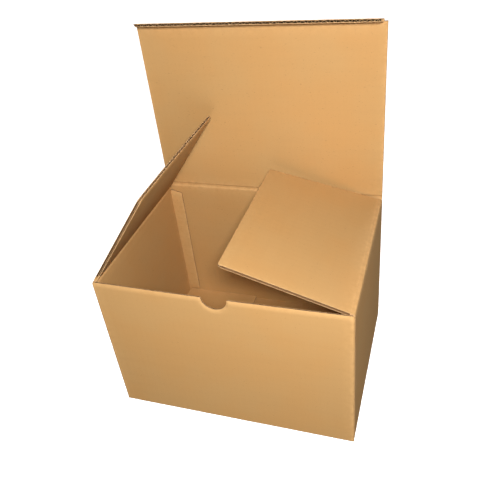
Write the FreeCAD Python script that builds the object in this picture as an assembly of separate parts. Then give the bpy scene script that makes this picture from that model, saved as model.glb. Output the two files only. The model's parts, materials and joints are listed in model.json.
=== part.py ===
import FreeCAD, Part
import math
import os

# An erected shipping carton cut and folded from one sheet of corrugated board. It stands open:
# the lid goes straight up from the back wall with its tuck flap turned forward, and the two
# dust flaps lean in over the opening. Millimetres. X to the right, Y away from the front wall,
# Z up, and the origin is the centre of the underside.

# Board and outer size
width = 300.0
depth = 228.0
height = 200.0
board = 4.0
fold_radius = 3.0

# Open channel between the liners, on cut edges that run along the flutes
liner = 0.6
channel_depth = 2.5

# Scored creases that the lid and flaps turn on
score_reach = 3.5
neck_half = 0.5
neck_gap = 0.3

# Lid and tuck flap
lid_seat_clearance = 0.5
lid_side_inset = 0.5
tuck_clearance = 0.5
tuck_length = 22.0
tuck_side_inset = 4.5
tuck_end_taper = 1.5
tuck_corner_radius = 3.0
tuck_angle = 16.0

# Dust flaps
dust_meeting_gap = 4.0
dust_end_clearance = 0.5
dust_back_taper = 17.0
dust_corner_radius = 2.5
left_dust_angle = 54.0
right_dust_angle = 18.0

# Thumb notch in the front wall
notch_radius = 15.0

# Glue tab, folded from the left wall onto the inside of the back wall
tab_width = 20.0
tab_end_bevel = 4.0
tab_top_clearance = 3.0
tab_foot_clearance = 1.0

# Bottom flaps
bottom_seam = 1.0
bottom_side_inset = 0.5
bottom_flap_length = 113.5
inner_flap_clearance = 0.5

# Places that follow from the sizes
half_width = width / 2
half_depth = depth / 2
half_board = board / 2
neck_end = neck_half + neck_gap
side_hinge_x = half_width - half_board
side_hinge_z = height - half_board
lid_hinge_y = half_depth - half_board
lid_hinge_z = height + half_board + lid_seat_clearance
lid_length = depth - 2 * board - tuck_clearance
lid_span = width - 2 * lid_side_inset
tuck_hinge_z = lid_hinge_z + lid_length
tuck_span = width - 2 * tuck_side_inset
dust_length = side_hinge_x - dust_meeting_gap / 2
dust_span = depth - 2 * (board + dust_end_clearance)
inner_flap_span = depth - 2 * (board + inner_flap_clearance)
outer_flap_reach = half_depth - bottom_seam / 2


def vec(x, y, z=0.0):
    return FreeCAD.Vector(x, y, z)


def wire_of(points):
    """A closed wire through points in the XY plane."""
    return Part.makePolygon([vec(*point) for point in points] + [vec(*points[0])])


def rounded_outline(corners):
    """A closed wire in the XY plane through (x, y, radius) corners, rounded where radius > 0."""
    edges = []
    count = len(corners)
    starts = []
    ends = []
    for index, (x, y, radius) in enumerate(corners):
        here = vec(x, y)
        before = vec(*corners[index - 1][:2]) - here
        after = vec(*corners[(index + 1) % count][:2]) - here
        if radius <= 0:
            starts.append(here)
            ends.append(here)
            continue
        half_angle = before.getAngle(after) / 2
        reach = radius / math.tan(half_angle)
        start = here + before.normalize() * reach
        end = here + after.normalize() * reach
        inward = (before + after).normalize()
        middle = here + inward * (radius / math.sin(half_angle) - radius)
        edges.append((index, Part.Arc(start, middle, end).toShape()))
        starts.append(start)
        ends.append(end)
    for index in range(count):
        edges.append((index + 0.5, Part.makeLine(ends[index], starts[(index + 1) % count])))
    return Part.Wire([edge for _, edge in sorted(edges, key=lambda item: item[0])])


def prism(wire, rise):
    """The solid on a flat closed wire, extruded along the vector rise."""
    return Part.Face(wire).extrude(rise)


def place(shape, x_way, y_way, origin):
    """Carry a shape from its own axes to the directions x_way and y_way, at origin."""
    turn = FreeCAD.Rotation(x_way, y_way, x_way.cross(y_way), "XYZ")
    shape.Placement = FreeCAD.Placement(origin, turn)
    return shape


def flap(span, length, outline, tip_scored=False, channel_sides=()):
    """A board panel that turns on its crease.

    Its own X runs along the crease, Y from the crease to the free edge and Z through the board.
    The crease is crushed to a thin neck that ends in a round bead on the axis. A scored tip
    carries another flap, whose axis lies at Y = length. The flutes run along Y, so the side
    edges in channel_sides, -1 or 1 along X, are open between the liners.
    """
    upper = [(neck_end, neck_half), (score_reach, half_board)]
    if tip_scored:
        upper.append((length - score_reach, half_board))
        upper.append((length - neck_end, neck_half))
    else:
        upper.append((length, half_board))
    lower = [(y, -z) for y, z in reversed(upper)]
    points = [(0, neck_half)] + upper + lower + [(0, -neck_half)]
    end = -span / 2
    chain = [vec(end, y, z) for y, z in points]
    edges = [Part.makeLine(a, b) for a, b in zip(chain, chain[1:])]
    edges.append(Part.Arc(chain[-1], vec(end, -neck_half, 0), chain[0]).toShape())
    panel = prism(Part.Wire(edges), vec(span, 0, 0))
    cutter = prism(outline, vec(0, 0, 2 * board))
    cutter.translate(vec(0, 0, -board))
    panel = panel.common(cutter)
    reach = length - 2 * score_reach if tip_scored else length
    for side in channel_sides:
        channel = Part.makeBox(2 * channel_depth, reach, board - 2 * liner)
        channel.translate(vec(side * span / 2 - channel_depth, score_reach, liner - half_board))
        panel = panel.cut(channel)
    return panel.removeSplitter()


def wall(span, foot, top, flap_end=board, crease=None):
    """A wall with the bottom flap folded in from its foot, as one L of board.

    Its own X runs along the wall, Y outward and Z up, with the wall's outer face at Y = 0. The
    flap reaches in to Y = -flap_end. With a crease at that height the top is scored.
    """
    inner = -board
    upper = [(0, top), (inner, top)]
    if crease is not None:
        upper = [
            (0, crease - score_reach),
            (-half_board + neck_half, crease - neck_end),
            (-half_board - neck_half, crease - neck_end),
            (inner, crease - score_reach),
        ]
    flap_top = []
    if flap_end > board:
        flap_top = [(inner, foot + board), (-flap_end, foot + board)]
    outline = [(0, foot + fold_radius)] + upper + flap_top + [(-flap_end, foot), (-fold_radius, foot)]
    end = -span / 2
    chain = [vec(end, y, z) for y, z in outline]
    slant = fold_radius * (1 - math.sin(math.pi / 4))
    edges = [Part.makeLine(a, b) for a, b in zip(chain, chain[1:])]
    edges.append(Part.Arc(chain[-1], vec(end, -slant, foot + slant), chain[0]).toShape())
    return prism(Part.Wire(edges), vec(span, 0, 0))


def glue_tab():
    """The tab inside the back wall: a bevelled strip that continues the left wall."""
    foot = 2 * board + tab_foot_clearance
    head = side_hinge_z - half_board - tab_top_clearance
    root = half_width - half_board
    end = half_width - tab_width
    outline = wire_of([
        (-root, foot),
        (-end, foot + tab_end_bevel),
        (-end, head - tab_end_bevel),
        (-root, head),
    ])
    strip = prism(outline, vec(0, 0, board))
    return place(strip, vec(1, 0, 0), vec(0, 0, 1), vec(0, half_depth - board, 0))


def joint_groove():
    """The groove left outside by the rounded fold of the glue tab against the back wall."""
    edge_x = -half_width
    edge_y = half_depth - board
    slant = fold_radius * (1 - math.sin(math.pi / 4))
    arc = Part.Arc(
        vec(edge_x, edge_y - fold_radius),
        vec(edge_x + slant, edge_y - slant),
        vec(edge_x + fold_radius, edge_y),
    ).toShape()
    corner = vec(edge_x, edge_y)
    sides = [
        Part.makeLine(vec(edge_x + fold_radius, edge_y), corner),
        Part.makeLine(corner, vec(edge_x, edge_y - fold_radius)),
    ]
    groove = prism(Part.Wire([arc] + sides), vec(0, 0, height))
    groove.translate(vec(0, 0, board))
    return groove


def joint_channel():
    """The open channel in the back wall's cut edge, beside the glue joint."""
    foot = board + fold_radius
    head = lid_hinge_z - score_reach
    channel = Part.makeBox(2 * channel_depth, board - 2 * liner, head - foot)
    channel.translate(vec(-half_width - channel_depth, half_depth - board + liner, foot))
    return channel


def carton_body():
    """The four walls, the glue tab and the closed bottom: one folded and glued sheet."""
    front = wall(width, 0, height, outer_flap_reach)
    back = wall(width, 0, height, outer_flap_reach, crease=lid_hinge_z)
    left = wall(depth - board, board, height, crease=side_hinge_z)
    right = wall(depth, board, height, crease=side_hinge_z)
    place(front, vec(-1, 0, 0), vec(0, -1, 0), vec(0, -half_depth, 0))
    place(back, vec(1, 0, 0), vec(0, 1, 0), vec(0, half_depth, 0))
    place(left, vec(0, 1, 0), vec(-1, 0, 0), vec(-half_width, -half_board, 0))
    place(right, vec(0, -1, 0), vec(1, 0, 0), vec(half_width, 0, 0))

    flap_box = Part.makeBox(bottom_flap_length - board, inner_flap_span, board)
    left_bottom = flap_box.copy()
    left_bottom.translate(vec(-half_width + board, -inner_flap_span / 2, board))
    right_bottom = flap_box.copy()
    right_bottom.translate(vec(half_width - bottom_flap_length, -inner_flap_span / 2, board))

    body = front.multiFuse([back, left, right, glue_tab(), left_bottom, right_bottom])

    plan = rounded_outline([
        (-half_width, -half_depth, fold_radius),
        (half_width, -half_depth, fold_radius),
        (half_width, half_depth, fold_radius),
        (-half_width, half_depth, 0),
    ])
    body = body.common(prism(plan, vec(0, 0, lid_hinge_z)))
    notch = Part.makeCylinder(
        notch_radius, 3 * board, vec(0, -half_depth - board, height), vec(0, 1, 0))
    body = body.cut([joint_groove(), joint_channel(), notch])

    for side in (-1, 1):
        trim = Part.makeBox(2 * bottom_side_inset, depth, board)
        trim.translate(vec(side * half_width - bottom_side_inset, -half_depth, 0))
        body = body.cut(trim)
    return body.removeSplitter()


def lid():
    """The lid panel, upright above the back wall."""
    half = lid_span / 2
    outline = wire_of([(-half, -board), (half, -board), (half, lid_length), (-half, lid_length)])
    panel = flap(lid_span, lid_length, outline, tip_scored=True, channel_sides=(-1, 1))
    return place(panel, vec(-1, 0, 0), vec(0, 0, 1), vec(0, lid_hinge_y, lid_hinge_z))


def tuck_flap():
    """The tuck flap on the lid's free edge, turned towards the front."""
    half = tuck_span / 2
    outline = rounded_outline([
        (-half, -board, 0),
        (half, -board, 0),
        (half, 0, 0),
        (half - tuck_end_taper, tuck_length, tuck_corner_radius),
        (-half + tuck_end_taper, tuck_length, tuck_corner_radius),
        (-half, 0, 0),
    ])
    panel = flap(tuck_span, tuck_length, outline)
    rise = math.radians(tuck_angle)
    way = vec(0, -math.cos(rise), math.sin(rise))
    return place(panel, vec(-1, 0, 0), way, vec(0, lid_hinge_y, tuck_hinge_z))


def dust_flap(side, angle):
    """A dust flap on a side wall, side -1 for the left and 1 for the right one."""
    half = dust_span / 2
    back = half - dust_back_taper
    outline = rounded_outline([
        (-half, -board, 0),
        (half, -board, 0),
        (half, 0, 0),
        (back, dust_length, dust_corner_radius),
        (-half, dust_length, dust_corner_radius),
    ])
    panel = flap(dust_span, dust_length, outline, channel_sides=(-1,))
    rise = math.radians(angle)
    way = vec(-side * math.cos(rise), 0, math.sin(rise))
    return place(panel, vec(0, 1, 0), way, vec(side * side_hinge_x, 0, side_hinge_z))


nodes = {
    "carton_body": carton_body(),
    "lid": lid(),
    "tuck_flap": tuck_flap(),
    "left_dust_flap": dust_flap(-1, left_dust_angle),
    "right_dust_flap": dust_flap(1, right_dust_angle),
}

os.makedirs("parts", exist_ok=True)
for name, shape in nodes.items():
    shape.exportStep(os.path.join("parts", name + ".step"))
    box = shape.BoundBox
    print(name, len(shape.Solids), shape.isValid(), round(shape.Volume), "mm3",
          "X %.1f..%.1f Y %.1f..%.1f Z %.1f..%.1f" % (
              box.XMin, box.XMax, box.YMin, box.YMax, box.ZMin, box.ZMax))
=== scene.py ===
import json
import math

import bmesh
import bpy
from mathutils import Euler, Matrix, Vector, noise


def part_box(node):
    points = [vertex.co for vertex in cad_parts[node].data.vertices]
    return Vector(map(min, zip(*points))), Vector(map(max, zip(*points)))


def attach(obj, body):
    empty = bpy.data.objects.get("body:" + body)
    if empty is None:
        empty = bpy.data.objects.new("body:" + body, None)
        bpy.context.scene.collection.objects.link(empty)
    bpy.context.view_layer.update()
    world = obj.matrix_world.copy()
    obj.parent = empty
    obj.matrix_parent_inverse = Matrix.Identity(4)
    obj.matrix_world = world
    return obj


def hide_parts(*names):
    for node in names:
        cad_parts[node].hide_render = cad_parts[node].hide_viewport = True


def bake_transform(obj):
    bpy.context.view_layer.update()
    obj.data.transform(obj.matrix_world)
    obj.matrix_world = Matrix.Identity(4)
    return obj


# The looks of an open corrugated carton. Every panel is built as the board that it is cut from:
# two liners and a fluted medium between them, open at the cut edges. Metres, in the frame's axes.
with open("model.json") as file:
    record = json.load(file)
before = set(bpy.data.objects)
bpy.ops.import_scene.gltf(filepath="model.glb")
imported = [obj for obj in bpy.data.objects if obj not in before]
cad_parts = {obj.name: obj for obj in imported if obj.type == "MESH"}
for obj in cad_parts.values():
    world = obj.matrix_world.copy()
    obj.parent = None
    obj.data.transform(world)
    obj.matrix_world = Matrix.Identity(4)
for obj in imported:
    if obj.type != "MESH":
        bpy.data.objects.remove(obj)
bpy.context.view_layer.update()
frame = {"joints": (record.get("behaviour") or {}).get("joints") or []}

MM = 0.001

# Sizes read from the frame
_, body_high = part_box("carton_body")
lid_low, lid_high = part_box("lid")
tuck_low, tuck_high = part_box("tuck_flap")
dust_low, dust_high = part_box("right_dust_flap")
joints = {joint["name"]: joint for joint in frame["joints"]}
HALF_WIDTH = body_high.x
HALF_DEPTH = body_high.y
BOARD = lid_high.y - lid_low.y
LID_AXIS = Vector(joints["lid_crease"]["pos_m"])
TUCK_AXIS = Vector(joints["tuck_crease"]["pos_m"])
DUST_AXIS = Vector(joints["right_dust_crease"]["pos_m"])
LID_LENGTH = TUCK_AXIS.z - LID_AXIS.z
LID_SPAN = lid_high.x - lid_low.x
TUCK_SPAN = tuck_high.x - tuck_low.x
DUST_SPAN = dust_high.y - dust_low.y
WALL_TOP = DUST_AXIS.z + BOARD / 2

# How far each flap stands above level at rest: its joint's travel back to level or to straight
LEFT_DUST_ANGLE = math.radians(-joints["left_dust_crease"]["range_deg"][0])
RIGHT_DUST_ANGLE = math.radians(-joints["right_dust_crease"]["range_deg"][0])
TUCK_ANGLE = math.radians(90 + joints["tuck_crease"]["range_deg"][0])

# Sizes that the frame doesn't hold, as in the construction model
FOLD_RADIUS = 3.0 * MM
SCORE_REACH = 3.5 * MM
NECK_END = 0.8 * MM
NOTCH_RADIUS = 15.0 * MM
TAB_WIDTH = 20.0 * MM
TAB_BEVEL = 4.0 * MM
TAB_FOOT = 9.0 * MM
TAB_HEAD = WALL_TOP - BOARD - 3.0 * MM
TUCK_LENGTH = 22.0 * MM
TUCK_TAPER = 1.5 * MM
TUCK_CORNER = 3.0 * MM
DUST_LENGTH = DUST_AXIS.x - 2.0 * MM
DUST_TAPER = 17.0 * MM
DUST_CORNER = 2.5 * MM
BOTTOM_SEAM = 0.15 * MM
BOTTOM_INSET = 0.5 * MM
BOTTOM_FLAP = 113.5 * MM
INNER_FLAP_CLEARANCE = 0.5 * MM

# The board's make-up
LINER = 0.5 * MM
MEDIUM = 0.28 * MM
FLUTE_PITCH = 7.9 * MM
MEDIUM_RECESS = 0.3 * MM
CHANNEL_RECESS = 5.0 * MM
CRUSH_REACH = 2.6 * MM
CRUSH = 0.35
FRONT_CRUSH = 0.6
TAB_CRUSH = 0.6
TUCK_CRUSH = 0.12
# How far from an edge or fold the scuffing and the painted edge highlight reach
WEAR_AND_HIGHLIGHT_REACH = 3.0 * MM
FLUTE_SWING = BOARD / 2 - LINER - MEDIUM / 2

# How far the panels stand out from flat
FRONT_BOW = 1.4 * MM
SIDE_BOW = 0.5 * MM
BACK_BOW = 0.4 * MM
LID_SAG = 0.9 * MM
DUST_CURL = 0.8 * MM
DUST_CURL_SHIFT = 0.15

# The steps of the meshes
COLUMN_STEP = 9.0 * MM
ROW_STEP = 11.0 * MM
FINE_ROW_STEP = 4.0 * MM
TURN_ROW_STEP = 0.8 * MM
CREASE_STEP = 5.0 * MM
SAME_COLUMN = 0.2 * MM
RIM = 2.5 * MM
RIM_LIMIT = 0.2
RIM_SHARE = 0.35
FLUTE_STEPS = 10
MEDIUM_COARSENESS = 3
CORNER_STEPS = 8
NOTCH_STEPS = 36
NOTCH_OFFSETS_MM = (0.7, 1.4, 2.2, 3.2, 5.0)
HEAD_STEP = 0.02 * MM
LEAST_FLAP = SCORE_REACH + 0.5 * MM
SHARP_ANGLE = math.radians(40)
NO_EDGE = 1.0


def smoothstep(x):
    x = min(max(x, 0.0), 1.0)
    return x * x * (3 - 2 * x)


def rim_width(span):
    """The width of the finer pair of steps beside an edge."""
    return min(RIM, span * RIM_LIMIT)


def graded(start, end, count):
    """Positions from start to end in count equal steps, with a finer pair beside each end."""
    rim = rim_width(end - start)
    inner = end - start - 2 * rim
    middle = [start + rim + inner * i / count for i in range(count + 1)]
    return [start, start + rim * RIM_SHARE] + middle + [end - rim * RIM_SHARE, end]


def spaced(start, end, step):
    """Positions from start to end, about step apart, with a finer pair beside each end."""
    inner = end - start - 2 * rim_width(end - start)
    return graded(start, end, max(1, round(inner / step)))


class Stock:
    """The growing mesh of one piece: thin closed layers of board, with the sheet's coordinates."""

    def __init__(self):
        self.points = []
        self.faces = []
        self.skins = []
        self.sheet = []
        self.wear_and_highlight = []

    def layer(self, panel, columns, near, far, skins, recess=0.0, coarse=1):
        """A closed layer over the panel between the depths near(u) and far(u).

        skins are the material numbers of the near face, the far face and the cut edge.
        """
        first = len(self.points)
        count = max(1, round(panel.longest / (panel.row_step * coarse)))
        for u in columns:
            low = panel.foot(u) + recess * panel.cuts["foot"]
            high = panel.head(u) - recess * panel.cuts["head"]
            steps = graded(low, high, count)
            for v in steps:
                squeeze = panel.squeeze(u, v)
                wear_and_highlight = panel.wear_and_highlight(u, v)
                for depth in (near(u), far(u)):
                    pressed = BOARD / 2 + (depth - BOARD / 2) * squeeze
                    self.points.append(panel.place(u, v, pressed))
                    self.sheet.append((panel.sheet_u(u), v + panel.lift, depth))
                    self.wear_and_highlight.append(wear_and_highlight)
        rows = len(steps)
        last = len(columns) - 1

        def at(i, j, side):
            return first + (i * rows + j) * 2 + side

        for i in range(last):
            for j in range(rows - 1):
                near_face = (at(i, j, 0), at(i + 1, j, 0), at(i + 1, j + 1, 0), at(i, j + 1, 0))
                far_face = (at(i, j, 1), at(i, j + 1, 1), at(i + 1, j + 1, 1), at(i + 1, j, 1))
                self.add(near_face, skins[0])
                self.add(far_face, skins[1])
            self.add((at(i, 0, 0), at(i, 0, 1), at(i + 1, 0, 1), at(i + 1, 0, 0)), skins[2])
            j = rows - 1
            self.add((at(i, j, 0), at(i + 1, j, 0), at(i + 1, j, 1), at(i, j, 1)), skins[2])
        for j in range(rows - 1):
            self.add((at(0, j, 0), at(0, j + 1, 0), at(0, j + 1, 1), at(0, j, 1)), skins[2])
            self.add(
                (at(last, j, 0), at(last, j, 1), at(last, j + 1, 1), at(last, j + 1, 0)), skins[2])

    def add(self, face, skin):
        self.faces.append(face)
        self.skins.append(skin)

    def piece(self, name, materials):
        """Turn the stock into an object with its materials, its sheet attribute and its attribute
        of wear and painted edge highlight.
        """
        mesh = bpy.data.meshes.new(name)
        mesh.from_pydata([tuple(point) for point in self.points], [], self.faces)
        for material in materials:
            mesh.materials.append(material)
        mesh.polygons.foreach_set("material_index", self.skins)
        mesh.polygons.foreach_set("use_smooth", [True] * len(self.faces))
        sheet = mesh.attributes.new("sheet", "FLOAT_VECTOR", "POINT")
        sheet.data.foreach_set("vector", [value for triple in self.sheet for value in triple])
        wear_and_highlight = mesh.attributes.new("wear_and_highlight", "FLOAT", "POINT")
        wear_and_highlight.data.foreach_set("value", self.wear_and_highlight)
        solid = bmesh.new()
        solid.from_mesh(mesh)
        bmesh.ops.recalc_face_normals(solid, faces=solid.faces)
        solid.to_mesh(mesh)
        solid.free()
        mesh.set_sharp_from_angle(angle=SHARP_ANGLE)
        obj = bpy.data.objects.new(name, mesh)
        bpy.context.scene.collection.objects.link(obj)
        return obj


class Panel:
    """A stretch of board: u runs across the flutes, v along them and depth in from its outer face.

    edges says what the start, end, foot and head are: "cut" for a die-cut edge that is pressed
    thin, "open" for one that shows the flutes' channels, "fold" for a fold, and "plain" for a seam
    that the sheet runs through.
    """

    def __init__(self, start, end, place, foot, head, edges, sheet=(0.0, 1.0), lift=0.0, extra=(),
                 row_step=ROW_STEP, crush=CRUSH, near_cut=None):
        self.start = start
        self.end = end
        self.place = place
        self.foot = foot if callable(foot) else lambda u: foot
        self.head = head if callable(head) else lambda u: head
        self.edges = dict(zip(("start", "end", "foot", "head"), edges))
        self.cuts = {side: int(kind == "cut") for side, kind in self.edges.items()}
        self.sheet_origin, self.sheet_sign = sheet
        self.lift = lift
        self.row_step = row_step
        self.crush = crush
        self.near_cut = near_cut or self.cut_distance
        columns = [u for u in spaced(start, end, COLUMN_STEP)
                   if all(abs(u - e) > SAME_COLUMN for e in extra)]
        self.columns = sorted(columns + [e for e in extra if start <= e <= end])
        self.longest = max(self.head(u) - self.foot(u) for u in self.columns)

    def sheet_u(self, u):
        return self.sheet_origin + self.sheet_sign * u

    def distances(self, u, v, kind):
        spans = {"start": u - self.start, "end": self.end - u,
                 "foot": v - self.foot(u), "head": self.head(u) - v}
        return [spans[side] for side, found in self.edges.items() if found == kind]

    def cut_distance(self, u, v):
        return min(self.distances(u, v, "cut"), default=NO_EDGE)

    def squeeze(self, u, v):
        """The share of its thickness that the board keeps beside a die-cut edge."""
        near = 1 - smoothstep(max(self.near_cut(u, v), 0.0) / CRUSH_REACH)
        return 1 - self.crush * near

    def wear_and_highlight(self, u, v):
        """How scuffed the paper is, with a painted highlight on the same places: 1 on an edge, a
        fold or a rounded corner, less away from it.
        """
        reach = [self.near_cut(u, v)]
        reach += self.distances(u, v, "fold") + self.distances(u, v, "open")
        if self.edges["start"] == "fold" and self.end - self.start < 2 * FOLD_RADIUS:
            return 1.0
        return math.exp(-max(min(reach), 0.0) / WEAR_AND_HIGHLIGHT_REACH)

    def wave(self, u):
        """Depth of the fluted medium's middle."""
        return BOARD / 2 + FLUTE_SWING * math.sin(2 * math.pi * self.sheet_u(u) / FLUTE_PITCH)


# The material numbers of a layer's near face, far face and cut edge. The liners' inner faces take
# the dark medium material: painted shade inside the open flute channels
OUTER_SKINS = (0, 2, 1)
INNER_SKINS = (2, 0, 1)
MEDIUM_SKINS = (2, 2, 1)


def lay_board(stock, panel):
    """The outer liner, the fluted medium and the inner liner of one panel."""
    stock.layer(panel, panel.columns, lambda u: 0.0, lambda u: LINER, OUTER_SKINS)
    stock.layer(panel, panel.columns, lambda u: BOARD - LINER, lambda u: BOARD, INNER_SKINS)
    ends = {"open": CHANNEL_RECESS, "cut": MEDIUM_RECESS}
    start = panel.start + ends.get(panel.edges["start"], 0.0)
    end = panel.end - ends.get(panel.edges["end"], 0.0)
    count = max(4, round((end - start) / (FLUTE_PITCH / FLUTE_STEPS)))
    fluted = [start + (end - start) * i / count for i in range(count + 1)]
    stock.layer(panel, fluted,
                lambda u: panel.wave(u) - MEDIUM / 2, lambda u: panel.wave(u) + MEDIUM / 2,
                MEDIUM_SKINS, recess=MEDIUM_RECESS, coarse=MEDIUM_COARSENESS)


# Materials

FACE_COLOUR = (0.512, 0.290, 0.107)
CUT_COLOUR = (0.62, 0.38, 0.18)
# The medium's own dark brown, made darker still: partly its colour, partly painted shade for the
# open flute channels
MEDIUM_AND_CHANNEL_SHADE_COLOUR = (0.19, 0.095, 0.035)

# The paper's patterns: repeats per metre across the flutes, along them and in depth, then the
# noise's detail and roughness
PAPER_NOISE = {
    "clouds": ((14, 14, 14), 2.0, 0.55),
    "streaks": ((9, 120, 40), 3.0, 0.55),
    "fibres": ((700, 2600, 700), 3.0, 0.7),
    "grain": ((1900, 1900, 1900), 2.0, 0.6),
    "specks": ((420, 900, 420), 1.0, 0.55),
    "scuffs_and_highlight": ((160, 160, 160), 3.0, 0.55),
}
PAPER_SHEEN = 0.3
# How much paler the edges, folds and creases get: partly scuffed paper, partly painted highlight
WORN_AND_HIGHLIGHT_SHARE = 0.45
WASHBOARD_SHADE = 0.025
WASHBOARD_RELIEF = 0.012 * MM
FIBRE_RELIEF = 0.035 * MM
GRAIN_RELIEF = 0.03 * MM
STREAK_RELIEF = 0.03 * MM


def new_material(name):
    material = bpy.data.materials.new(name)
    material.use_nodes = True
    return material, material.node_tree, material.node_tree.nodes["Principled BSDF"]


def tinted(colour, factors, lift=0.0):
    """The colour times a factor for each channel, plus a lift."""
    return tuple(min(1.0, c * f + lift) for c, f in zip(colour, factors)) + (1.0,)


def kraft(name, colour, roughness, washboard, contrast=1.0):
    """Unbleached kraft paper: cloudy colour, short fibres along the sheet, specks, flute ripple."""
    material, tree, shader = new_material(name)
    shader.inputs["Roughness"].default_value = roughness
    shader.inputs["Specular IOR Level"].default_value = PAPER_SHEEN

    def node(kind, **settings):
        made = tree.nodes.new(kind)
        for key, value in settings.items():
            setattr(made, key, value)
        return made

    def feed(sockets, values):
        """Give each socket its value, or link it to the output that stands for it."""
        for socket, value in zip(sockets, values):
            if isinstance(value, (int, float, tuple)):
                socket.default_value = value
            else:
                tree.links.new(value, socket)

    def noise_of(vector, scale, detail, rough):
        mapping = node("ShaderNodeVectorMath", operation="MULTIPLY")
        feed(mapping.inputs, (vector, scale))
        texture = node("ShaderNodeTexNoise")
        names = ("Vector", "Scale", "Detail", "Roughness")
        feed([texture.inputs[key] for key in names], (mapping.outputs[0], 1.0, detail, rough))
        return texture.outputs["Fac"]

    def spread(source, low, high, to_low, to_high):
        ramp = node("ShaderNodeMapRange", interpolation_type="SMOOTHSTEP")
        names = ("Value", "From Min", "From Max", "To Min", "To Max")
        feed([ramp.inputs[key] for key in names], (source, low, high, to_low, to_high))
        return ramp.outputs["Result"]

    def math_of(kind, *values):
        made = node("ShaderNodeMath", operation=kind)
        feed(made.inputs, values)
        return made.outputs[0]

    def blended(factor, base, other):
        mix = node("ShaderNodeMix", data_type="RGBA")
        feed([mix.inputs[key] for key in ("Factor", "A", "B")], (factor, base, other))
        return mix.outputs["Result"]

    sheet = node("ShaderNodeAttribute", attribute_name="sheet").outputs["Vector"]
    paper = {key: noise_of(sheet, *values) for key, values in PAPER_NOISE.items()}

    warm = tinted(colour, (1.03, 0.94, 0.82))
    dark = tinted(colour, (0.80, 0.80, 0.80))
    speck = tinted(colour, (0.45, 0.45, 0.45))
    pale = tinted(colour, (1.35, 1.35, 1.35), 0.03)
    shade = colour + (1.0,)
    for pattern, low, high, most, tone in (
        ("clouds", 0.35, 0.65, 0.45, warm),
        ("streaks", 0.42, 0.72, 0.07, dark),
        ("fibres", 0.50, 0.78, 0.45, dark),
        ("specks", 0.70, 0.78, 0.55, speck),
    ):
        shade = blended(spread(paper[pattern], low, high, 0.0, most * contrast), shade, tone)

    # Paler along edges, folds and creases: partly scuffed paper, partly painted highlight
    wear_and_highlight = node("ShaderNodeAttribute", attribute_name="wear_and_highlight").outputs["Fac"]
    worn_and_highlit = math_of("MULTIPLY", wear_and_highlight, spread(paper["scuffs_and_highlight"], 0.3, 0.7, 0.25, 1.0))
    shade = blended(math_of("MULTIPLY", worn_and_highlit, WORN_AND_HIGHLIGHT_SHARE), shade, pale)

    split = node("ShaderNodeSeparateXYZ")
    tree.links.new(sheet, split.inputs[0])
    phase = math_of("MULTIPLY", split.outputs["X"], 2 * math.pi / FLUTE_PITCH)
    ripple = math_of("SINE", phase)
    lines = math_of("MULTIPLY_ADD", ripple, 0.5, 0.5)
    shade = blended(math_of("MULTIPLY", lines, WASHBOARD_SHADE * washboard), shade, dark)
    tree.links.new(shade, shader.inputs["Base Color"])

    relief = math_of("MULTIPLY", paper["fibres"], FIBRE_RELIEF)
    for pattern, height in ((paper["grain"], GRAIN_RELIEF), (ripple, WASHBOARD_RELIEF * washboard),
                            (paper["streaks"], STREAK_RELIEF)):
        relief = math_of("ADD", relief, math_of("MULTIPLY", pattern, height))
    bump = node("ShaderNodeBump")
    feed([bump.inputs[key] for key in ("Strength", "Distance", "Height")], (1.0, 1.0, relief))
    tree.links.new(bump.outputs["Normal"], shader.inputs["Normal"])
    return material


FACE = kraft("kraft_face", FACE_COLOUR, 0.74, 1.0)
CUT = kraft("kraft_cut_edge", CUT_COLOUR, 0.92, 0.0, 1.4)
# The medium's material, also laid on the liners' inner faces as painted shade in the channels
FLUTE_AND_CHANNEL_SHADE = kraft("kraft_medium_and_channel_shade", MEDIUM_AND_CHANNEL_SHADE_COLOUR, 0.9, 0.0, 1.2)
BOARD_MATERIALS = (FACE, CUT, FLUTE_AND_CHANNEL_SHADE)


# The walls: one strip of board that runs round the carton, from the back wall's cut edge on the
# left to the glue tab inside it


def straight(start, end, normal):
    start, end, normal = Vector(start), Vector(end), Vector(normal)
    length = (end - start).length
    return length, lambda distance: (start.lerp(end, distance / length), normal)


def bend(centre, from_degrees):
    centre = Vector(centre)
    length = FOLD_RADIUS * math.pi / 2

    def point(distance):
        angle = math.radians(from_degrees) - distance / FOLD_RADIUS
        normal = Vector((math.cos(angle), math.sin(angle)))
        return centre + normal * FOLD_RADIUS, normal

    return length, point


CORNER_X = HALF_WIDTH - FOLD_RADIUS
CORNER_Y = HALF_DEPTH - FOLD_RADIUS
TAB_Y = HALF_DEPTH - BOARD
WALLS = [
    ("back", straight((-HALF_WIDTH, HALF_DEPTH), (CORNER_X, HALF_DEPTH), (0, 1))),
    ("back_right", bend((CORNER_X, CORNER_Y), 90)),
    ("right", straight((HALF_WIDTH, CORNER_Y), (HALF_WIDTH, -CORNER_Y), (1, 0))),
    ("front_right", bend((CORNER_X, -CORNER_Y), 0)),
    ("front", straight((CORNER_X, -HALF_DEPTH), (-CORNER_X, -HALF_DEPTH), (0, -1))),
    ("front_left", bend((-CORNER_X, -CORNER_Y), -90)),
    ("left", straight((-HALF_WIDTH, -CORNER_Y), (-HALF_WIDTH, TAB_Y - FOLD_RADIUS), (-1, 0))),
    ("tab_fold", bend((-CORNER_X, TAB_Y - FOLD_RADIUS), 180)),
    ("tab", straight((-CORNER_X, TAB_Y), (-HALF_WIDTH + TAB_WIDTH, TAB_Y), (0, 1))),
]
wall_start = {}
run = 0.0
for wall_name, (wall_length, _) in WALLS:
    wall_start[wall_name] = run
    run += wall_length
wall_shape = dict(WALLS)


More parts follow.
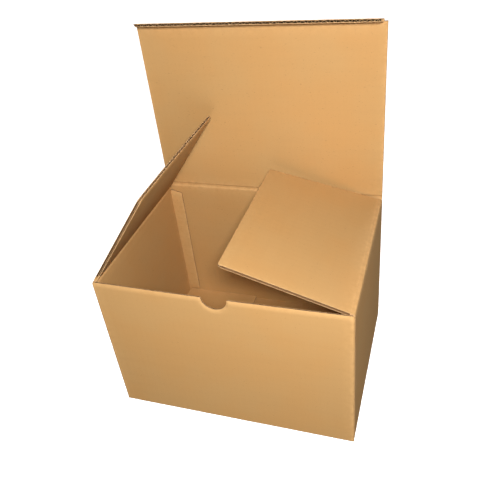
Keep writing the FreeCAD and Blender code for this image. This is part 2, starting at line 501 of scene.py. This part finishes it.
def bow(name, share, height):
    """How far a wall stands out from flat: the front bows most at its free edge."""
    rise = max(0.0, height / WALL_TOP)
    if name == "front":
        return FRONT_BOW * math.sin(math.pi * share) * rise ** 2
    most = {"right": SIDE_BOW, "left": SIDE_BOW, "back": BACK_BOW}.get(name, 0.0)
    return most * math.sin(math.pi * share) * math.sin(math.pi * min(rise, 1.0))


def wall_place(name):
    length, shape = wall_shape[name]

    def place(u, v, depth):
        point, normal = shape(min(max(u, 0.0), length))
        out = bow(name, u / length, v) - depth
        return Vector((point.x + normal.x * out, point.y + normal.y * out, v))

    return place


def notch_head(u):
    """The front wall's top edge, with the half-round thumb notch at its middle."""
    offset = abs(u - wall_shape["front"][0] / 2)
    if offset >= NOTCH_RADIUS:
        return WALL_TOP
    return WALL_TOP - math.sqrt(NOTCH_RADIUS ** 2 - offset ** 2)


def tab_head(u):
    return TAB_HEAD - TAB_BEVEL * u / wall_shape["tab"][0]


def tab_foot(u):
    return TAB_FOOT + TAB_BEVEL * u / wall_shape["tab"][0]


def wall_panel(name, foot, head, edges, start=0.0, end=None, **settings):
    end = wall_shape[name][0] if end is None else end
    return Panel(start, end, wall_place(name), foot, head, edges,
                 sheet=(wall_start[name], 1.0), **settings)


def near_notch(u, v):
    """Distance to the front wall's cut top or to its thumb notch."""
    offset = abs(u - wall_shape["front"][0] / 2)
    return min(WALL_TOP - v, math.hypot(offset, v - WALL_TOP) - NOTCH_RADIUS)


def make_walls():
    side_foot = BOARD + FOLD_RADIUS
    side_head = DUST_AXIS.z - SCORE_REACH
    stub_head = DUST_AXIS.z - NECK_END
    lid_head = LID_AXIS.z - SCORE_REACH
    side_length = wall_shape["right"][0]
    stub = CORNER_Y - DUST_SPAN / 2
    half_front = wall_shape["front"][0] / 2
    notch_steps = [half_front + NOTCH_RADIUS * math.cos(math.pi * i / NOTCH_STEPS)
                   for i in range(NOTCH_STEPS + 1)]
    notch_steps += [half_front + side * (NOTCH_RADIUS + offset * MM)
                    for side in (-1, 1) for offset in NOTCH_OFFSETS_MM]
    corner_length = wall_shape["front_right"][0]
    corner = [corner_length * i / CORNER_STEPS for i in range(1, CORNER_STEPS)]
    turn = ("fold", "fold", "plain", "cut")
    stock = Stock()
    for panel in (
        wall_panel("back", FOLD_RADIUS, lid_head, ("open", "fold", "plain", "fold")),
        wall_panel("back_right", FOLD_RADIUS, lid_head, turn, extra=corner),
        wall_panel("right", side_foot, stub_head, ("fold", "cut", "plain", "cut"), end=stub),
        wall_panel("right", side_foot, side_head, ("plain", "plain", "plain", "fold"),
                   stub, side_length - stub),
        wall_panel("right", side_foot, stub_head, ("cut", "fold", "plain", "cut"),
                   side_length - stub),
        wall_panel("front_right", FOLD_RADIUS, WALL_TOP, turn, extra=corner, crush=FRONT_CRUSH),
        wall_panel("front", FOLD_RADIUS, notch_head, ("fold", "fold", "plain", "cut"),
                   extra=notch_steps, near_cut=near_notch, crush=FRONT_CRUSH,
                   row_step=FINE_ROW_STEP),
        wall_panel("front_left", FOLD_RADIUS, WALL_TOP, turn, extra=corner, crush=FRONT_CRUSH),
        wall_panel("left", side_foot, stub_head, ("fold", "cut", "plain", "cut"), end=stub),
        wall_panel("left", side_foot, side_head, ("plain", "fold", "plain", "fold"), stub),
        wall_panel("tab_fold", side_foot, TAB_HEAD, ("fold", "fold", "cut", "cut"), extra=corner),
        wall_panel("tab", tab_foot, tab_head, ("fold", "cut", "cut", "cut"), crush=TAB_CRUSH),
    ):
        lay_board(stock, panel)
    piece = stock.piece("carton_walls", BOARD_MATERIALS)
    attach(piece, "carton")
    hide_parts("carton_body")


def bottom_place(outward, face, base):
    """A bottom flap: u along its fold and v from its free edge to where it turns up the wall."""
    outward = Vector(outward)
    along = Vector((-outward.y, outward.x, 0))
    arc = FOLD_RADIUS * math.pi / 2

    def place(u, v, depth):
        down = arc - v
        if down < arc:
            angle = max(down, 0.0) / FOLD_RADIUS
            way = outward * math.cos(angle) - Vector((0, 0, 1)) * math.sin(angle)
            centre = outward * (face - FOLD_RADIUS) + Vector((0, 0, base + FOLD_RADIUS))
            return along * u + centre + way * (FOLD_RADIUS - depth)
        inward = face - FOLD_RADIUS - (down - arc)
        return along * u + outward * inward + Vector((0, 0, base + depth))

    return place


def make_bottom():
    arc = FOLD_RADIUS * math.pi / 2
    stock = Stock()
    outer_half = HALF_WIDTH - BOTTOM_INSET
    inner_half = HALF_DEPTH - BOARD - INNER_FLAP_CLEARANCE
    outer_reach = HALF_DEPTH - FOLD_RADIUS - BOTTOM_SEAM / 2
    inner_reach = BOTTOM_FLAP - FOLD_RADIUS
    for outward, face, base, half, reach in (
        ((0, -1, 0), HALF_DEPTH, 0.0, outer_half, outer_reach),
        ((0, 1, 0), HALF_DEPTH, 0.0, outer_half, outer_reach),
        ((-1, 0, 0), HALF_WIDTH, BOARD, inner_half, inner_reach),
        ((1, 0, 0), HALF_WIDTH, BOARD, inner_half, inner_reach),
    ):
        place = bottom_place(outward, face, base)
        flat = Panel(-half, half, place, -reach, 0.0, ("open", "open", "cut", "fold"))
        lay_board(stock, flat)
        turn = Panel(-half, half, place, 0.0, arc, ("open", "open", "fold", "fold"),
                     row_step=TURN_ROW_STEP)
        lay_board(stock, turn)
    piece = stock.piece("carton_bottom", BOARD_MATERIALS)
    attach(piece, "carton")
    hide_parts("carton_body")


# The lid and the flaps


def flap_place(axis, along, way, normal, curl):
    """A flap: u along its crease, v out from the axis and depth in from the outer face."""
    axis, along, way, normal = Vector(axis), Vector(along), Vector(way), Vector(normal)

    def place(u, v, depth):
        return axis + along * u + way * v + normal * (BOARD / 2 - depth + curl(u, v))

    return place


def no_curl(u, v):
    return 0.0


def lid_curl(u, v):
    """The lid's panel sags back a little between its creases."""
    across = math.cos(math.pi * u / LID_SPAN)
    up = math.sin(math.pi * min(max(v / LID_LENGTH, 0.0), 1.0))
    return LID_SAG * across * up


def dust_curl(u, v):
    """A dust flap's free edge curls up a little, more towards the front."""
    out = smoothstep(v / DUST_LENGTH)
    return DUST_CURL * out * math.cos(math.pi * (u / DUST_SPAN + DUST_CURL_SHIFT))


def corner_drop(inset, radius):
    """How far a rounded corner falls back from the free edge at a distance in from the side."""
    if inset >= radius:
        return 0.0
    return radius - math.sqrt(max(0.0, radius ** 2 - (radius - inset) ** 2))


def make_lid():
    half_tuck = TUCK_SPAN / 2

    def head(u):
        return LID_LENGTH - (SCORE_REACH if abs(u) <= half_tuck else NECK_END)

    place = flap_place(LID_AXIS, (1, 0, 0), (0, 0, 1), (0, 1, 0), lid_curl)
    panel = Panel(-LID_SPAN / 2, LID_SPAN / 2, place, SCORE_REACH, head,
                  ("open", "open", "fold", "fold"), sheet=(HALF_WIDTH, 1.0), lift=LID_AXIS.z,
                  extra=(-half_tuck - HEAD_STEP, -half_tuck, half_tuck, half_tuck + HEAD_STEP))
    stock = Stock()
    lay_board(stock, panel)
    piece = stock.piece("lid_board", BOARD_MATERIALS)
    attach(piece, "lid")
    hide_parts("lid")


TUCK_WAY = Vector((0, -math.cos(TUCK_ANGLE), math.sin(TUCK_ANGLE)))
TUCK_NORMAL = Vector((0, math.sin(TUCK_ANGLE), math.cos(TUCK_ANGLE)))


def make_tuck():
    half = TUCK_SPAN / 2

    def head(u):
        inset = half - abs(u)
        if inset < TUCK_TAPER:
            return max((TUCK_LENGTH - TUCK_CORNER) * inset / TUCK_TAPER, LEAST_FLAP)
        return TUCK_LENGTH - corner_drop(inset - TUCK_TAPER, TUCK_CORNER)

    ends = [half - TUCK_TAPER * i / 6 for i in range(7)]
    ends += [half - TUCK_TAPER - TUCK_CORNER * (1 - math.cos(math.pi * i / 16))
             for i in range(1, 9)]
    extra = sorted(ends + [-u for u in ends])
    place = flap_place(TUCK_AXIS, (1, 0, 0), TUCK_WAY, TUCK_NORMAL, no_curl)

    def near_cut(u, v):
        return min(head(u) - v, half - abs(u) - TUCK_TAPER * v / TUCK_LENGTH)

    panel = Panel(-half, half, place, SCORE_REACH, head, ("cut", "cut", "fold", "cut"),
                  sheet=(HALF_WIDTH, 1.0), extra=extra, row_step=FINE_ROW_STEP, lift=TUCK_AXIS.z,
                  crush=TUCK_CRUSH, near_cut=near_cut)
    stock = Stock()
    lay_board(stock, panel)
    piece = stock.piece("tuck_board", BOARD_MATERIALS)
    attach(piece, "tuck")
    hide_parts("tuck_flap")


# Name, side and angle above level
DUST_FLAPS = (
    ("left_dust", -1, LEFT_DUST_ANGLE),
    ("right_dust", 1, RIGHT_DUST_ANGLE),
)


def dust_directions(side, angle):
    way = Vector((-side * math.cos(angle), 0, math.sin(angle)))
    normal = Vector((side * math.sin(angle), 0, math.cos(angle)))
    axis = Vector((side * DUST_AXIS.x, 0, DUST_AXIS.z))
    return axis, way, normal


def dust_sheet(side):
    """The sheet's origin and sign that carry the side wall's flutes on into its dust flap."""
    if side > 0:
        return wall_start["right"] + CORNER_Y, -1.0
    return wall_start["left"] + CORNER_Y, 1.0


def make_dust_flap(name, side, angle):
    half = DUST_SPAN / 2

    def head(u):
        slant = (half - u) / DUST_TAPER
        front = u + half
        if slant < 1:
            return max(DUST_LENGTH * slant, LEAST_FLAP)
        drop = corner_drop(front, DUST_CORNER) + corner_drop(half - u - DUST_TAPER, DUST_CORNER)
        return DUST_LENGTH - drop

    extra = [half - DUST_TAPER * i / 20 for i in range(21)]
    extra += [half - DUST_TAPER - DUST_CORNER * (1 - math.cos(math.pi * i / 12))
              for i in range(1, 7)]
    extra += [-half + DUST_CORNER * (1 - math.cos(math.pi * i / 12)) for i in range(7)]
    axis, way, normal = dust_directions(side, angle)
    place = flap_place(axis, (0, 1, 0), way, normal, dust_curl)

    def near_cut(u, v):
        return min(head(u) - v, half - u - DUST_TAPER * v / DUST_LENGTH)

    panel = Panel(-half, half, place, SCORE_REACH, head, ("open", "cut", "fold", "cut"),
                  sheet=dust_sheet(side), extra=sorted(extra), lift=DUST_AXIS.z, near_cut=near_cut)
    stock = Stock()
    lay_board(stock, panel)
    piece = stock.piece(name + "_board", BOARD_MATERIALS)
    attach(piece, name)
    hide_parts(name + "_flap")


# The creases: crushed board between two panels, built where they stand at rest

# Each score's points in millimetres: reach from the axis and distance from the board's middle
OUTER_SCORE = ((3.5, 2.0), (2.6, 1.9), (1.7, 1.62))
INNER_SCORE = ((3.5, -2.0), (2.6, -1.75), (1.6, -1.15))
OUTER_TURN = 1.95
INNER_TURN = 1.1
CREASE_ROUGHNESS = 0.10 * MM
CREASE_GRAIN = (160, 0.35, 50)


def crease_section(wall_up, wall_normal, way, normal):
    """The outer and inner lines of the crease's section round its axis, in metres."""

    def side(score, turn):
        before = [(-wall_up * s + wall_normal * o) * MM for s, o in score]
        after = [(way * s + normal * o) * MM for s, o in reversed(score)]
        start, end = before[-1], after[0]
        middle = (wall_normal + normal).normalized() * (1 if score[0][1] > 0 else -1)
        first = (start.normalized() + middle).normalized()
        last = (end.normalized() + middle).normalized()
        return before + [v * turn * MM for v in (first, middle, last)] + after

    return side(OUTER_SCORE, OUTER_TURN), side(INNER_SCORE, INNER_TURN)


def rounded(points):
    """Cut the corners of an open line once, ends kept."""
    line = [points[0]]
    for a, b in zip(points, points[1:]):
        line.append(a.lerp(b, 0.25))
        line.append(a.lerp(b, 0.75))
    return line + [points[-1]]


def make_crease(name, axis, along, half, wall_up, wall_normal, way, normal, sheet, lift):
    axis, along = Vector(axis), Vector(along)
    wall_up, wall_normal = Vector(wall_up), Vector(wall_normal)
    outer, inner = crease_section(wall_up, wall_normal, way, normal)
    outer, inner = rounded(outer), rounded(inner)
    ring = outer + inner[::-1]
    count = len(ring)
    split = len(outer)
    stations = spaced(-half, half, CREASE_STEP)
    across, around, level = CREASE_GRAIN
    stock = Stock()
    for u in stations:
        for index, offset in enumerate(ring):
            between_panels = 0 < index < split - 1 or split < index < count - 1
            grain = noise.noise(Vector((u * across, index * around, axis.z * level)))
            rough = grain * CREASE_ROUGHNESS if between_panels else 0.0
            stock.points.append(axis + along * u + offset + offset.normalized() * rough)
            travel = index if index < split else count - 1 - index
            stock.sheet.append((sheet[0] + sheet[1] * u,
                                lift + (travel / (split - 1) - 0.5) * 2 * SCORE_REACH,
                                0.0 if index < split else BOARD))
            # The whole crease is at full paleness: scuffed paper and painted highlight
            stock.wear_and_highlight.append(1.0)
    for i in range(len(stations) - 1):
        for j in range(count):
            k = (j + 1) % count
            a, b = i * count, (i + 1) * count
            stock.add((a + j, a + k, b + k, b + j), 0)
    stock.add(tuple(reversed(range(count))), 1)
    last = (len(stations) - 1) * count
    stock.add(tuple(last + j for j in range(count)), 1)
    piece = stock.piece(name, BOARD_MATERIALS)
    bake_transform(piece)


def make_creases():
    up = Vector((0, 0, 1))
    back = Vector((0, 1, 0))
    make_crease("lid_crease", LID_AXIS, (1, 0, 0), LID_SPAN / 2, up, back, up, back,
                (HALF_WIDTH, 1.0), LID_AXIS.z)
    make_crease("tuck_crease", TUCK_AXIS, (1, 0, 0), TUCK_SPAN / 2, up, back, TUCK_WAY, TUCK_NORMAL,
                (HALF_WIDTH, 1.0), TUCK_AXIS.z)
    for name, side, angle in DUST_FLAPS:
        axis, way, normal = dust_directions(side, angle)
        make_crease(name + "_crease", axis, (0, 1, 0), DUST_SPAN / 2, up, Vector((side, 0, 0)),
                    way, normal, dust_sheet(side), DUST_AXIS.z)


# The studio

CAMERA_PLACE = (0.2162, -0.5471, 0.6080)
CAMERA_LENS_MM = 44.32
CAMERA_YAW, CAMERA_PITCH, CAMERA_ROLL = 22.164, 34.890, -7.533

FLOOR_REACH = 3.0
FLOOR_CURVE = 1.5
FLOOR_CURVE_STEPS = 12
FLOOR_TOP = 6.0
FLOOR_TURNS = 96
FLOOR_GLOW = 0.8
WORLD_COLOUR = (1.0, 0.99, 0.98, 1.0)
WORLD_STRENGTH = 0.09

# Name, place, width of the disk and power
LAMPS = (
    ("key", (0.25, -0.60, 0.70), 0.12, 8.9),
    ("low_fill", (0.05, -1.00, 0.12), 0.40, 2.2),
)
LAMP_AIM = (0.0, 0.0, 0.2)

# Name, direction towards the sun and power
SUNS = (
    ("right_fill", (0.98, 0.05, 0.02), 0.66),
    ("back_left_fill", (-0.60, 0.65, 0.45), 1.5),
    ("back_fill", (-0.05, 0.90, 0.28), 1.5),
)
SUN_ANGLE = math.radians(40)


def make_camera():
    data = bpy.data.cameras.new("camera")
    data.lens = CAMERA_LENS_MM
    data.sensor_width = 36.0
    data.clip_start = 0.01
    camera = bpy.data.objects.new("camera", data)
    camera.location = CAMERA_PLACE
    turn = Euler((0, 0, math.radians(CAMERA_YAW))).to_matrix()
    tilt = Euler((math.radians(90 - CAMERA_PITCH), 0, 0)).to_matrix()
    roll = Euler((0, 0, math.radians(CAMERA_ROLL))).to_matrix()
    camera.rotation_euler = (turn @ tilt @ roll).to_euler()
    bpy.context.scene.collection.objects.link(camera)
    bpy.context.scene.camera = camera


def make_lamp(name, place, size, power):
    data = bpy.data.lights.new(name, "AREA")
    data.shape = "DISK"
    data.size = size
    data.energy = power
    lamp = bpy.data.objects.new(name, data)
    lamp.location = place
    aim = Vector(LAMP_AIM) - Vector(place)
    lamp.rotation_euler = aim.to_track_quat("-Z", "Y").to_euler()
    bpy.context.scene.collection.objects.link(lamp)


def make_sun(name, towards, power):
    data = bpy.data.lights.new(name, "SUN")
    data.energy = power
    data.angle = SUN_ANGLE
    sun = bpy.data.objects.new(name, data)
    sun.rotation_euler = Vector(towards).to_track_quat("Z", "Y").to_euler()
    bpy.context.scene.collection.objects.link(sun)


def make_floor():
    """A round white floor that curves up into a wall. It casts no shade and no tint on the box."""
    profile = [(0.0, 0.0), (FLOOR_REACH / 2, 0.0), (FLOOR_REACH, 0.0)]
    for i in range(1, FLOOR_CURVE_STEPS + 1):
        angle = math.pi / 2 * i / FLOOR_CURVE_STEPS
        profile.append((FLOOR_REACH + FLOOR_CURVE * math.sin(angle),
                        FLOOR_CURVE * (1 - math.cos(angle))))
    profile.append((FLOOR_REACH + FLOOR_CURVE, FLOOR_TOP))
    points = [(0.0, 0.0, 0.0)]
    for reach, height in profile[1:]:
        for i in range(FLOOR_TURNS):
            angle = 2 * math.pi * i / FLOOR_TURNS
            points.append((reach * math.cos(angle), reach * math.sin(angle), height))
    faces = [(0, 1 + i, 1 + (i + 1) % FLOOR_TURNS) for i in range(FLOOR_TURNS)]
    for ring in range(len(profile) - 2):
        inner = 1 + ring * FLOOR_TURNS
        outer = inner + FLOOR_TURNS
        for i in range(FLOOR_TURNS):
            j = (i + 1) % FLOOR_TURNS
            faces.append((inner + i, outer + i, outer + j, inner + j))
    mesh = bpy.data.meshes.new("floor")
    mesh.from_pydata(points, [], faces)
    mesh.polygons.foreach_set("use_smooth", [True] * len(faces))
    material, _, shader = new_material("pale_floor")
    shader.inputs["Base Color"].default_value = (0.85, 0.85, 0.85, 1.0)
    shader.inputs["Roughness"].default_value = 0.9
    shader.inputs["Emission Color"].default_value = (1.0, 1.0, 1.0, 1.0)
    shader.inputs["Emission Strength"].default_value = FLOOR_GLOW
    mesh.materials.append(material)
    floor = bpy.data.objects.new("floor", mesh)
    bpy.context.scene.collection.objects.link(floor)
    floor.visible_diffuse = False
    floor.visible_glossy = False
    floor.visible_shadow = False


def make_world():
    world = bpy.data.worlds.new("studio")
    bpy.context.scene.world = world
    world.use_nodes = True
    background = world.node_tree.nodes["Background"]
    background.inputs["Color"].default_value = WORLD_COLOUR
    background.inputs["Strength"].default_value = WORLD_STRENGTH


make_camera()
make_walls()
make_bottom()
make_lid()
make_tuck()
for flap_name, flap_side, flap_angle in DUST_FLAPS:
    make_dust_flap(flap_name, flap_side, flap_angle)
make_creases()
make_floor()
make_world()
for lamp_settings in LAMPS:
    make_lamp(*lamp_settings)
for sun_settings in SUNS:
    make_sun(*sun_settings)

bpy.context.scene.view_settings.view_transform = "Standard"
